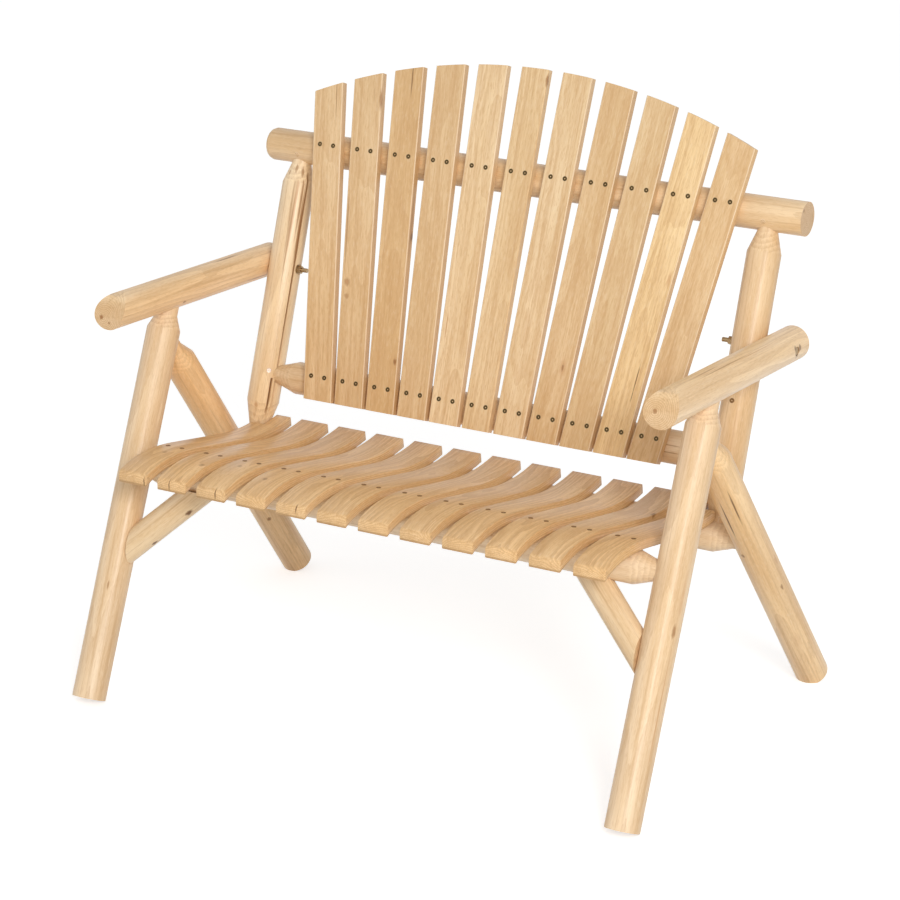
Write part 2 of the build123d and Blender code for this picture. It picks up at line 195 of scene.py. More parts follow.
def smooth_step(tree, value, low, high):
    """0 at low and 1 at high, with a smooth rise between them; low can be the larger."""
    step = tree.nodes.new("ShaderNodeMapRange")
    step.interpolation_type = "SMOOTHSTEP"
    step.inputs["From Min"].default_value = low
    step.inputs["From Max"].default_value = high
    tree.links.new(value, step.inputs["Value"])
    return step.outputs["Result"]


def mixed(tree, factor, first, second):
    """Two colours mixed by a factor; each is a socket or a plain colour."""
    mix = tree.nodes.new("ShaderNodeMix")
    mix.data_type = "RGBA"
    feed(tree, factor, mix.inputs[0])
    feed(tree, first, mix.inputs[6])
    feed(tree, second, mix.inputs[7])
    return mix.outputs[2]


def stretched_noise(tree, vector, across, along, detail):
    """Noise drawn out along Z: how fine it is across the grain and along it."""
    stretch = tree.nodes.new("ShaderNodeMapping")
    stretch.inputs["Scale"].default_value = (across, across, along)
    noise = tree.nodes.new("ShaderNodeTexNoise")
    noise.inputs["Scale"].default_value = 1.0
    noise.inputs["Detail"].default_value = detail
    tree.links.new(vector, stretch.inputs["Vector"])
    tree.links.new(stretch.outputs["Vector"], noise.inputs["Vector"])
    return noise.outputs["Fac"]


def make_softwood():
    """Growth rings round a pith that runs along Z, with broad tones, streaks and fibres."""
    group = bpy.data.node_groups.new("softwood", "ShaderNodeTree")
    for socket_name, kind, value in (
        ("Vector", "NodeSocketVector", (0, 0, 0)),
        ("Pith", "NodeSocketVector", (0, 0, 0)),
        ("Pale", "NodeSocketColor", log_pale),
        ("Warm", "NodeSocketColor", log_warm),
        ("Deep", "NodeSocketColor", log_deep),
        ("Ring Width", "NodeSocketFloat", 0.003),
        ("Ring Strength", "NodeSocketFloat", 0.10),
        ("Sway", "NodeSocketFloat", 0.016),
        ("Fleck", "NodeSocketFloat", 0.45),
    ):
        socket = group.interface.new_socket(socket_name, in_out="INPUT", socket_type=kind)
        socket.default_value = value
    group.interface.new_socket("Color", in_out="OUTPUT", socket_type="NodeSocketColor")
    group.interface.new_socket("Height", in_out="OUTPUT", socket_type="NodeSocketFloat")
    inside = group.nodes.new("NodeGroupInput").outputs
    outside = group.nodes.new("NodeGroupOutput").inputs
    place = inside["Vector"]
    from_pith = vector_calculate(group, "SUBTRACT", place, inside["Pith"])
    flat = vector_calculate(group, "MULTIPLY", from_pith, (1, 1, 0))
    radius = vector_calculate(group, "LENGTH", flat)
    wander = stretched_noise(group, place, *wander_grain)
    reach = calculate(group, "ADD", radius, calculate(group, "MULTIPLY", wander, inside["Sway"]))
    ring = calculate(group, "FRACT", calculate(group, "DIVIDE", reach, inside["Ring Width"]))
    late_wood = smooth_step(group, ring, *late_wood_band)
    late = calculate(group, "MULTIPLY", late_wood, inside["Ring Strength"])
    patches = smooth_step(group, stretched_noise(group, place, *patch_grain), *patch_band)
    streaks = stretched_noise(group, place, *streak_grain)
    fibres = stretched_noise(group, place, *fibre_grain)
    flecks = stretched_noise(group, place, *fleck_grain)
    body = mixed(group, patches, inside["Pale"], inside["Warm"])
    ringed = mixed(group, late, body, inside["Deep"])
    thin = calculate(group, "MULTIPLY", smooth_step(group, streaks, *streak_band), streak_depth)
    streaked = mixed(group, thin, ringed, inside["Deep"])
    fine = calculate(group, "MULTIPLY", smooth_step(group, fibres, *fibre_band), fibre_depth)
    fine = calculate(group, "MULTIPLY", fine, inside["Fleck"])
    fibred = mixed(group, fine, streaked, inside["Deep"])
    dark_flecks = smooth_step(group, flecks, *dark_fleck_band)
    dark = calculate(group, "MULTIPLY", dark_flecks, dark_fleck_depth)
    dark = calculate(group, "MULTIPLY", dark, inside["Fleck"])
    darkened = mixed(group, dark, fibred, inside["Deep"])
    light_flecks = smooth_step(group, flecks, *light_fleck_band)
    light = calculate(group, "MULTIPLY", light_flecks, light_fleck_depth)
    group.links.new(mixed(group, light, darkened, pale_fleck_and_highlight), outside["Color"])
    coarse = calculate(group, "MULTIPLY", streaks, streak_relief)
    delicate = calculate(group, "MULTIPLY", fibres, fibre_relief)
    group.links.new(calculate(group, "ADD", coarse, delicate), outside["Height"])
    return group


def make_mark():
    """A soft-edged spot of radius 1 round the origin, slightly uneven."""
    group = bpy.data.node_groups.new("mark", "ShaderNodeTree")
    group.interface.new_socket("Vector", in_out="INPUT", socket_type="NodeSocketVector")
    group.interface.new_socket("Mask", in_out="OUTPUT", socket_type="NodeSocketFloat")
    place = group.nodes.new("NodeGroupInput").outputs["Vector"]
    distance = vector_calculate(group, "LENGTH", place)
    ragged = stretched_noise(group, place, *mark_grain)
    uneven = calculate(group, "MULTIPLY", ragged, mark_unevenness)
    mask = smooth_step(group, calculate(group, "ADD", distance, uneven), *mark_edge)
    group.links.new(mask, group.nodes.new("NodeGroupOutput").inputs["Mask"])
    return group


softwood = make_softwood()
mark = make_mark()


def grain_space(tree, place, grain, across, size=(1, 1, 1)):
    """Object coordinates about a place, with Z along the grain and X across it."""
    side = (across - grain * across.dot(grain)).normalized()
    turn = Matrix((side, grain.cross(side), grain)).transposed()
    coordinates = tree.nodes.new("ShaderNodeTexCoord")
    mapping = tree.nodes.new("ShaderNodeMapping")
    mapping.vector_type = "TEXTURE"
    mapping.inputs["Location"].default_value = place
    mapping.inputs["Rotation"].default_value = turn.to_euler()
    mapping.inputs["Scale"].default_value = size
    tree.links.new(coordinates.outputs["Object"], mapping.inputs["Vector"])
    return mapping.outputs["Vector"]


def add_group(tree, group, vector):
    """A node group in a tree, fed with coordinates."""
    node = tree.nodes.new("ShaderNodeGroup")
    node.node_tree = group
    tree.links.new(vector, node.inputs["Vector"])
    return node


def marked(tree, colour, grain, marks, depth=0.0):
    """A wood colour with its knots, cracks, stains and painted highlights, each as wide and long
    as given.
    """
    for place, width, length, tone, strength in marks:
        across = bench_across if abs(grain.x) < 0.9 else Vector((0, 0, 1))
        size = (width / 2, max(width, depth) / 2, length / 2)
        spot = add_group(tree, mark, grain_space(tree, place, grain, across, size))
        shown = calculate(tree, "MULTIPLY", spot.outputs["Mask"], strength)
        colour = mixed(tree, shown, colour, tone)
    return colour


def add_relief(tree, height, depth, strength):
    """A fine relief on a tree's shader, as deep as given where the height is 1."""
    relief = tree.nodes.new("ShaderNodeBump")
    relief.inputs["Strength"].default_value = strength
    relief.inputs["Distance"].default_value = depth
    tree.links.new(height, relief.inputs["Height"])
    tree.links.new(relief.outputs["Normal"], tree.nodes["Principled BSDF"].inputs["Normal"])


def finish_wood(tree, colour, height, depth):
    """Satin varnish over a colour and a relief."""
    shader = tree.nodes["Principled BSDF"]
    shader.inputs["Specular IOR Level"].default_value = varnish_shine
    tree.links.new(colour, shader.inputs["Base Color"])
    dullness = calculate(tree, "MULTIPLY", height, pore_roughness)
    tree.links.new(calculate(tree, "ADD", dullness, varnish_roughness), shader.inputs["Roughness"])
    add_relief(tree, height, depth, wood_relief_strength)


def tinted(colour, tone):
    """A colour with its red, green and blue each scaled by a tone."""
    return tuple(channel * part for channel, part in zip(colour[:3], tone)) + (1,)


def dress(node_name, finish, arris=0.0):
    """Give a CAD node its finish, ease its sharp arrises and let round faces shade smoothly."""
    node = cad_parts[node_name]
    node.data.materials.clear()
    node.data.materials.append(finish)
    for polygon in node.data.polygons:
        polygon.use_smooth = True
    weld = node.modifiers.new("weld", "WELD")
    weld.merge_threshold = weld_distance
    if arris:
        ease = node.modifiers.new("ease", "BEVEL")
        ease.width = arris
        ease.segments = 2
        ease.limit_method = "ANGLE"
        ease.angle_limit = sharp_angle
    creases = node.modifiers.new("creases", "EDGE_SPLIT")
    creases.split_angle = crease_angle


def dress_log(node_name, pith, grain, marks=(), tone=(1, 1, 1)):
    """A peeled log's wood, rings strong on sawn ends and faint on its round; a tone may add
    painted light.
    """
    finish, tree = new_finish(f"{node_name} wood")
    across = bench_across if abs(grain.x) < 0.9 else Vector((0, 1, 0))
    wood = add_group(tree, softwood, grain_space(tree, pith, grain, across))
    wood.inputs["Pale"].default_value = tinted(log_pale, tone)
    wood.inputs["Warm"].default_value = tinted(log_warm, tone)
    coordinates = tree.nodes.new("ShaderNodeTexCoord")
    end_on = vector_calculate(tree, "DOT_PRODUCT", coordinates.outputs["Normal"], grain)
    on_end = smooth_step(tree, calculate(tree, "ABSOLUTE", end_on), *end_band)
    stronger = calculate(tree, "MULTIPLY", on_end, more_end_rings)
    tree.links.new(calculate(tree, "ADD", stronger, side_rings), wood.inputs["Ring Strength"])
    soaked = calculate(tree, "MULTIPLY", on_end, end_soak)
    body = mixed(tree, soaked, wood.outputs["Color"], log_deep)
    colour = marked(tree, body, grain, marks)
    finish_wood(tree, colour, wood.outputs["Height"], wood_relief)
    dress(node_name, finish)


# Each mark is a place, a width, a length along the grain, a colour and a strength.
dress_log(
    "front_leg_left",
    (-front_leg_x, front_leg_y, front_leg_z),
    front_leg_up,
    (
        ((-0.5096, -0.3032, 0.2049), 0.0045, 0.024, knot_brown, 0.65),
        ((-0.5060, -0.3140, 0.1700), 0.0035, 0.018, knot_brown, 0.55),
    ),
)
dress_log(
    "front_leg_right",
    (front_leg_x, front_leg_y, front_leg_z),
    front_leg_up,
    (
        # A painted highlight: a pale streak down the front of the leg.
        ((0.5340, -0.128, 0.594), 0.007, 0.10, pale_fleck_and_highlight, 0.6),
        ((0.5463, -0.2395, 0.3146), 0.011, 0.030, knot_brown, 0.7),
        ((0.5485, -0.2140, 0.3650), 0.010, 0.10, rosy_brown, 0.4),
        ((0.5470, -0.2900, 0.1950), 0.0045, 0.24, rosy_brown, 0.6),
        ((0.5490, -0.2720, 0.2100), 0.0030, 0.14, knot_brown, 0.45),
    ),
)

# === Rear legs ====================================================================
# Two peeled poles that lean forward. Each is tenoned into the back of its front leg,
# so that the four legs make two crossed pairs.
rear_rake, rear_splay = math.radians(38.02), math.radians(2.2)
rear_leg_x = 0.517
leg_meet_y, leg_meet_z = -0.0973, 0.6045

# Each rear leg's tint is painted light and shade: warmer colour standing in for the light under
# the seat.
for side_name, side, rear_leg_painted_light, marks in (
    (
        "left",
        -1,
        (1.06, 0.94, 0.76),
        (((-0.5164, 0.2294, 0.1480), 0.012, 0.015, knot_brown, 0.9),),
    ),
    (
        "right",
        1,
        (1.06, 0.99, 0.84),
        (
            ((0.5216, 0.0128, 0.4158), 0.0046, 0.15, crack_brown, 0.9),
            ((0.5406, -0.0040, 0.4471), 0.0044, 0.12, crack_brown, 0.85),
            ((0.5217, 0.0818, 0.3281), 0.010, 0.014, knot_brown, 0.85),
            ((0.5584, 0.1686, 0.2482), 0.007, 0.022, knot_brown, 0.75),
            ((0.5580, 0.1383, 0.3083), 0.009, 0.035, rosy_brown, 0.6),
            ((0.5545, 0.2558, 0.1163), 0.022, 0.060, rosy_brown, 0.22),
        ),
    ),
):
    rear_leg_down = Vector((side * math.tan(rear_splay), math.tan(rear_rake), -1)).normalized()
    meet = (side * rear_leg_x, leg_meet_y, leg_meet_z)
    dress_log(f"rear_leg_{side_name}", meet, rear_leg_down, marks, rear_leg_painted_light)

# === Rails ========================================================================
# Four peeled poles run from side to side. Both seat rails and the lower back rail end
# in shaved round tenons; the upper rail lies on the posts and runs past them.
log_radius = 0.0295
rear_rail_axis = Vector((0, 0.1037, 0.3474))
upper_rail_axis = Vector((0, 0.2875, 0.8635))

dress_log("front_seat_rail", (0, -0.1908, 0.3916), bench_across)
dress_log("rear_seat_rail", rear_rail_axis, bench_across)
dress_log(
    "lower_back_rail",
    (0, 0.1484, 0.4729),
    bench_across,
    (
        ((-0.420, 0.127, 0.490), 0.0030, 0.05, log_deep, 0.6),
        ((-0.418, 0.121, 0.476), 0.0030, 0.06, log_deep, 0.6),
        ((0.362, 0.1220, 0.4850), 0.0035, 0.07, knot_brown, 0.6),
        ((0.355, 0.1190, 0.4730), 0.0035, 0.09, knot_brown, 0.6),
        ((0.365, 0.1200, 0.4600), 0.0030, 0.06, knot_brown, 0.5),
    ),
)
dress_log(
    "upper_back_rail",
    upper_rail_axis,
    bench_across,
    (((0.5270, 0.2706, 0.8817), 0.010, 0.008, knot_brown, 0.7),),
    (0.99, 0.95, 0.87),
)

# === Back posts ===================================================================
# Two peeled poles lean back from the rear seat rail and are shaved to tenons at both
# ends. The left one has long natural grooves, dark inside.
back_rake = math.radians(19.6)
back_post_x = 0.4605
back_up = Vector((0, math.sin(back_rake), math.cos(back_rake)))
back_front = Vector((0, -math.cos(back_rake), math.sin(back_rake)))
groove_depth = 0.004


def on_left_post(up, swing):
    """A place in the left post's wood, swung from its front towards the bench's middle."""
    turn = math.radians(swing)
    look = back_front * math.cos(turn) + bench_across * math.sin(turn)
    axis = rear_rail_axis + back_up * up - bench_across * back_post_x
    return axis + look * (log_radius - groove_depth)


dress_log(
    "back_post_left",
    rear_rail_axis - bench_across * back_post_x,
    back_up,
    (
        (on_left_post(0.34, 65), 0.009, 0.72, knot_brown, 0.85),
        (on_left_post(0.10, 49), 0.008, 0.17, knot_brown, 0.85),
        ((-0.4385, 0.2369, 0.7797), 0.0065, 0.19, knot_brown, 0.75),
        ((-0.4353, 0.2197, 0.7187), 0.0060, 0.16, knot_brown, 0.7),
        ((-0.4520, 0.2278, 0.7800), 0.0045, 0.14, knot_brown, 0.5),
        ((-0.4504, 0.2100, 0.7284), 0.0040, 0.15, knot_brown, 0.4),
        ((-0.4570, 0.2545, 0.8329), 0.0080, 0.07, knot_brown, 0.6),
        ((-0.4454, 0.2562, 0.8266), 0.0080, 0.08, knot_brown, 0.7),
        ((-0.4693, 0.2501, 0.8249), 0.0060, 0.05, knot_brown, 0.5),
        ((-0.4460, 0.2245, 0.7629), 0.0060, 0.20, rosy_brown, 0.65),
        ((-0.4477, 0.2051, 0.7112), 0.0040, 0.24, knot_brown, 0.55),
        ((-0.4350, 0.2300, 0.7500), 0.0060, 0.22, knot_brown, 0.60),
        ((-0.4577, 0.1025, 0.4241), 0.010, 0.014, rosy_brown, 0.7),
    ),
    (1.12, 1.16, 1.17),
)
dress_log(
    "back_post_right",
    rear_rail_axis + bench_across * back_post_x,
    back_up,
    (
        ((0.4370, 0.2150, 0.7300), 0.0035, 0.16, knot_brown, 0.35),
        ((0.4720, 0.1360, 0.5200), 0.0040, 0.14, rosy_brown, 0.35),
    ),
    (0.97, 0.93, 0.86),
)

# === Armrests =====================================================================
# Two peeled poles, sawn round over the front end. Each rests on its front leg's tenon
# and is bolted to the outside of its back post.
arm_fall = math.radians(3.75)
arm_back = Vector((0, math.cos(arm_fall), -math.sin(arm_fall)))
# Painted light: a brighter tint on the armrests that stands in for light they lack.
arm_painted_light = (1.12, 1.11, 1.07)

dress_log(
    "armrest_left",
    (-0.5300, -0.2577, 0.6780),
    arm_back,
    (
        ((-0.5338, -0.2577, 0.6779), 0.011, 0.012, knot_brown, 0.9),
        ((-0.5174, -0.2594, 0.6702), 0.006, 0.012, knot_brown, 0.8),
        ((-0.4943, -0.0640, 0.6588), 0.008, 0.014, knot_brown, 0.7),
        ((-0.5150, 0.1000, 0.6935), 0.0060, 0.12, knot_brown, 0.8),
        ((-0.5140, -0.0300, 0.7000), 0.0034, 0.20, rosy_brown, 0.5),
        ((-0.4955, 0.1750, 0.6410), 0.0050, 0.09, knot_brown, 0.7),
        ((-0.4990, 0.0700, 0.6700), 0.0034, 0.20, rosy_brown, 0.45),
    ),
    arm_painted_light,
)
dress_log(
    "armrest_right",
    (0.5102, -0.2549, 0.6851),
    arm_back,
    (
        ((0.5102, -0.2549, 0.6851), 0.011, 0.012, knot_brown, 0.75),
        ((0.5310, -0.0420, 0.7000), 0.0036, 0.25, knot_brown, 0.55),
        ((0.5240, -0.1000, 0.7060), 0.0040, 0.14, knot_brown, 0.45),
        ((0.5330, 0.0800, 0.6910), 0.0030, 0.18, rosy_brown, 0.55),
        ((0.5494, 0.2246, 0.6588), 0.016, 0.013, crack_brown, 0.75),
        ((0.5480, 0.2060, 0.6620), 0.014, 0.010, crack_brown, 0.75),
        ((0.5480, 0.2150, 0.6480), 0.013, 0.012, crack_brown, 0.65),
    ),
    arm_painted_light,
)

# === Knee braces ==================================================================
# Two thinner poles at 45 degrees stiffen the front legs. Their ends are sawn flat and
# bear on flats planed on the leg and on the front seat rail.
brace_tone = (1.06, 1.11, 1.13)

for side_name, side, marks in (
    (
        "left",
        -1,
        (
            ((-0.3875, -0.2258, 0.3366), 0.013, 0.020, crack_brown, 0.95),
            ((-0.4483, -0.2443, 0.2753), 0.010, 0.017, crack_brown, 0.9),
        ),
    ),
    ("right", 1, (((0.4600, -0.2390, 0.3170), 0.0034, 0.11, knot_brown, 0.6),)),
):
    brace_up = (front_leg_up - bench_across * side).normalized()
    brace_pith = (side * 0.438, -0.2239, 0.3163)
    dress_log(f"knee_brace_{side_name}", brace_pith, brace_up, marks, brace_tone)

# === Back slats ===================================================================
# Eleven flat-sawn softwood boards, planed and varnished. Each is held by two screws to
# the lower and two to the upper back rail; their tops follow one arch.
board_pale = (0.785, 0.545, 0.310, 1)
board_warm = (0.715, 0.475, 0.250, 1)
board_deep = (0.56, 0.31, 0.125, 1)
back_tone = (1.04, 1.06, 1.05)
board_ring_width = 0.0034
board_sway = 0.03
board_fleck = 0.85
board_shades = (0.95, 1.03)
pith_sideways = 0.03
back_pith, back_rings = 0.10, 0.26
# Painted light on the back slats: a painted highlight along the arrises and painted shade on the
# side faces.
back_painted_light = (0.60, 0.18, 0.0)
board_arris = 0.0008
arris_band = (0.0266, 0.0276)
edge_band = (0.0282, 0.0285)
# The colour and band of painted shade along the lower edges of a board's sides and ends.
underside_shade_brown = (0.34, 0.18, 0.07, 1)
under_band = (0.0148, 0.0170)
board_mark_depth = 0.014
slat_thickness = 0.016
back_slat_count = 11
lower_pitch, upper_pitch = 0.0658, 0.0778
lower_screws_up, upper_screws_up = 0.1443, 0.5568
fan_spread = (upper_pitch - lower_pitch) / (upper_screws_up - lower_screws_up)
carpentry = random.Random(11)

back_slat_tones = {
    3: (0.93, 0.88, 0.80),
    5: (1.11, 1.18, 1.28),
    6: (1.03, 1.08, 1.13),
    7: (1.11, 1.18, 1.28),
    9: (1.02, 1.05, 1.07),
    10: (1.11, 1.15, 1.12),
}
back_slat_marks = {
    1: (((-0.3840, 0.2755, 0.9650), 0.0028, 0.12, knot_brown, 0.7),),
    2: (
        ((-0.3011, 0.1679, 0.6632), 0.017, 0.021, knot_brown, 0.55),
        ((-0.3011, 0.1679, 0.6632), 0.010, 0.012, rosy_brown, 0.6),
        ((-0.2975, 0.1596, 0.6399), 0.014, 0.014, knot_brown, 0.5),
        ((-0.3186, 0.1986, 0.7494), 0.0055, 0.21, knot_brown, 0.6),
        ((-0.3180, 0.2800, 0.9600), 0.0030, 0.13, knot_brown, 0.45),
        ((-0.3080, 0.2850, 0.9800), 0.0035, 0.06, knot_brown, 0.45),
        ((-0.2936, 0.2788, 0.9727), 0.008, 0.05, knot_brown, 0.7),
    ),
    3: (
        ((-0.2370, 0.2923, 1.0127), 0.0040, 0.08, crack_brown, 0.65),
        ((-0.1923, 0.2108, 0.7511), 0.0080, 0.022, crack_brown, 0.8),
        ((-0.1944, 0.2150, 0.7750), 0.0040, 0.16, knot_brown, 0.5),
        ((-0.1785, 0.1257, 0.5448), 0.009, 0.017, knot_brown, 0.9),
    ),
    5: (((-0.0884, 0.1519, 0.6184), 0.0030, 0.075, rosy_brown, 0.85),),
    6: (((0.0265, 0.3034, 1.0386), 0.008, 0.03, knot_brown, 0.8),),
    8: (
        ((0.1476, 0.1392, 0.5828), 0.006, 0.018, crack_brown, 0.85),
        ((0.1476, 0.1392, 0.5828), 0.016, 0.05, rosy_brown, 0.5),
    ),
    10: (
        ((0.2880, 0.1390, 0.5830), 0.0028, 0.075, crack_brown, 0.9),
        ((0.2850, 0.1290, 0.5560), 0.0022, 0.030, crack_brown, 0.7),
        ((0.3168, 0.1987, 0.7499), 0.009, 0.04, rosy_brown, 0.6),
    ),
}


def board_finish(name, vector_maker, grain, marks, deep_pith, strength, tone, painted_light):
    """One board's wood, its painted arris highlight and its painted side and underside shade."""
    # A painted highlight along the arrises, painted shade on the side faces and painted shade near
    # the underside.
    arris_highlight, side_shade, underside_shade = painted_light
    finish, tree = new_finish(name)
    place = vector_maker(tree)
    wood = add_group(tree, softwood, place)
    sideways = carpentry.uniform(-pith_sideways, pith_sideways)
    wood.inputs["Pith"].default_value = (sideways, deep_pith, 0)
    shade = carpentry.uniform(*board_shades)
    own_tone = [part * shade for part in tone]
    wood.inputs["Pale"].default_value = tinted(board_pale, own_tone)
    wood.inputs["Warm"].default_value = tinted(board_warm, own_tone)
    wood.inputs["Deep"].default_value = board_deep
    wood.inputs["Ring Width"].default_value = board_ring_width
    wood.inputs["Ring Strength"].default_value = strength
    wood.inputs["Sway"].default_value = board_sway
    wood.inputs["Fleck"].default_value = board_fleck
    split = tree.nodes.new("ShaderNodeSeparateXYZ")
    tree.links.new(place, split.inputs["Vector"])
    off_middle = calculate(tree, "ABSOLUTE", split.outputs["X"])
    on_edge = smooth_step(tree, off_middle, *edge_band)
    near_arris = calculate(tree, "SUBTRACT", smooth_step(tree, off_middle, *arris_band), on_edge)
    # Painted highlight just inside each arris.
    worn = calculate(tree, "MULTIPLY", near_arris, arris_highlight)
    # Painted shade on the side faces.
    sawn = calculate(tree, "MULTIPLY", on_edge, side_shade)
    # Painted shade along the lower edges of the sides and ends.
    near_under = smooth_step(tree, split.outputs["Y"], *under_band)
    painted_underside_shade = calculate(tree, "MULTIPLY", near_under, underside_shade)
    # The painted highlight and the painted shades are mixed over the wood here.
    eased = mixed(tree, worn, wood.outputs["Color"], pale_fleck_and_highlight)
    body = mixed(tree, painted_underside_shade, mixed(tree, sawn, eased, board_deep), underside_shade_brown)
    colour = marked(tree, body, grain, marks, board_mark_depth)
    finish_wood(tree, colour, wood.outputs["Height"], wood_relief)
    return finish


for number in range(1, back_slat_count + 1):
    node_name = f"back_slat_{number:02d}"
    index = number - (back_slat_count + 1) / 2
    slat_up = (back_up + bench_across * index * fan_spread).normalized()
    grain_start = rear_rail_axis + back_up * lower_screws_up + bench_across * index * lower_pitch
    grain_start -= slat_up * carpentry.uniform(1, 4)
    finish = board_finish(
        f"{node_name} wood",
        lambda tree: grain_space(tree, grain_start, slat_up, bench_across),
        slat_up,
        back_slat_marks.get(number, ()),
        back_pith,
        back_rings,
        tinted(back_tone, back_slat_tones.get(number, (1, 1, 1))),
        back_painted_light,
    )
    dress(node_name, finish, board_arris)

# === Seat slats ===================================================================
# Twelve softwood boards, sawn and sanded to one wave, and screwed to the front seat
# rail. The two end boards are notched round the back posts.
seat_slat_count = 12
seat_pitch = 0.0791
seat_crest_y, seat_crest_z = -0.2518, 0.4435
seat_front_y, seat_depth = -0.34, 0.50
nose_curve, hump_curve, hollow_curve = 0.220, 0.430, 0.430
slope_from, slope_to = 0.0872, 0.2415
slope_fall = math.tan(math.radians(11.7))
seat_pith, seat_rings = 0.08, 0.46
seat_tone = (1.14, 1.11, 1.01)
# Painted light on the seat boards: only painted shade, along the lower edges of their sides and
# ends.
seat_painted_light = (0.0, 0.0, 0.55)
seat_arris = 0.0016
wave_steps = 12
wave_scale = 10
split_nose_slats = (1, 2, 3, 5)
along_board = Vector((0, 1, 0))
up_the_nose = Vector((0, 0.6, 0.8))

seat_slat_marks = {
    1: (
        ((-0.4301, -0.2309, 0.4430), 0.011, 0.016, knot_brown, 0.5),
        ((-0.4112, -0.3233, 0.4212), 0.0036, 0.034, crack_brown, 0.9),
    ),
    2: (
        ((-0.3377, -0.2552, 0.4434), 0.014, 0.020, knot_brown, 0.6),
        ((-0.3600, -0.3233, 0.4233), 0.0032, 0.034, crack_brown, 0.9),
    ),
    3: (
        ((-0.2797, -0.2258, 0.4427), 0.010, 0.015, knot_brown, 0.6),
        ((-0.2671, -0.3233, 0.4243), 0.0036, 0.034, crack_brown, 0.9),
    ),
    4: (((-0.2075, -0.2601, 0.4433), 0.012, 0.017, knot_brown, 0.65),),
    5: (((-0.1078, -0.3220, 0.4286), 0.0034, 0.024, crack_brown, 0.9),),
    11: (((0.3846, 0.0196, 0.3990), 0.018, 0.028, knot_brown, 0.8),),
}


def seat_wave(from_crest):
    """How far the seat's top lies below its crest, at a distance behind it."""
    if from_crest < 0:
        return from_crest**2 / (2 * nose_curve)
    if from_crest < slope_from:
        return from_crest**2 / (2 * hump_curve)
    drop = slope_from**2 / (2 * hump_curve)
    if from_crest < slope_to:
        return drop + (from_crest - slope_from) * slope_fall
    drop += (slope_to - slope_from) * slope_fall
    beyond = from_crest - slope_to
    return drop + beyond * slope_fall - beyond**2 / (2 * hollow_curve)


def wave_space(tree, middle_x, offset):
    """X across the board, Y its depth below the wavy top, and Z along the board."""
    coordinates = tree.nodes.new("ShaderNodeTexCoord")
    split = tree.nodes.new("ShaderNodeSeparateXYZ")
    tree.links.new(coordinates.outputs["Object"], split.inputs["Vector"])
    behind = calculate(tree, "SUBTRACT", split.outputs["Y"], seat_front_y)
    wave = tree.nodes.new("ShaderNodeFloatCurve")
    points = wave.mapping.curves[0].points
    stations = [step / wave_steps for step in range(wave_steps + 1)]
    drops = [seat_wave(seat_front_y + t * seat_depth - seat_crest_y) for t in stations]
    points[0].location = (stations[0], drops[0] * wave_scale)
    points[1].location = (stations[-1], drops[-1] * wave_scale)
    for station, drop in zip(stations[1:-1], drops[1:-1]):
        points.new(station, drop * wave_scale)
    wave.mapping.update()
    tree.links.new(calculate(tree, "DIVIDE", behind, seat_depth), wave.inputs["Value"])
    drop = calculate(tree, "MULTIPLY", wave.outputs["Value"], 1 / wave_scale)
    below = calculate(tree, "SUBTRACT", seat_crest_z, split.outputs["Z"])
    depth = calculate(tree, "SUBTRACT", below, drop)
    join = tree.nodes.new("ShaderNodeCombineXYZ")
    tree.links.new(calculate(tree, "SUBTRACT", split.outputs["X"], middle_x), join.inputs["X"])
    tree.links.new(depth, join.inputs["Y"])
    tree.links.new(calculate(tree, "ADD", split.outputs["Y"], offset), join.inputs["Z"])
    return join.outputs["Vector"]


for number in range(1, seat_slat_count + 1):
    node_name = f"seat_slat_{number:02d}"
    middle_x = (number - (seat_slat_count + 1) / 2) * seat_pitch
    offset = carpentry.uniform(1, 4)
    finish = board_finish(
        f"{node_name} wood",
        lambda tree: wave_space(tree, middle_x, offset),
        up_the_nose if number in split_nose_slats else along_board,
        seat_slat_marks.get(number, ()),
        seat_pith,
        seat_rings,
        seat_tone,
        seat_painted_light,
    )
    dress(node_name, finish, seat_arris)

# === Wood screws ==================================================================
# Countersunk screws of dark antique brass. Pairs hold every slat to its rails, one
# locks each lower rail tenon in its post, and the right post has two more.
# The light bronze and the white zinc below colour the middles of screw heads as painted
# reflections; the white is a painted glint.
bronze_dark = (0.115, 0.078, 0.036, 1)
bronze_brown = (0.27, 0.15, 0.065, 1)
bronze_reflection_tone = (0.42, 0.33, 0.19, 1)
zinc_grey = (0.52, 0.42, 0.35, 1)
glint_white = (0.92, 0.93, 0.95, 1)
speck_grain, speck_band = (700, 700, 3), (0.35, 0.65)
speck_dark, speck_light = 0.75, 1.08
speck_roughness = 0.2
metal_relief, metal_relief_strength = 0.0001, 0.3
screw_sides = 20
head_radius = 0.0042
head_height = 0.0012
head_proud = 0.00035
rim_width = 0.0011
recess_radius = 0.0010
recess_depth = 0.0007
recess_slope = 0.0002
back_screw_apart, seat_screw_apart = 0.0138, 0.0144
back_screw_drop = 0.0013
seat_screw_back = 0.059
end_slat_screw_x, end_slat_screw_back = 0.424, 0.372
end_slat_look = Vector((0, -0.09, 1)).normalized()
tenon_screw_up, tenon_screw_swing = 0.138, 34


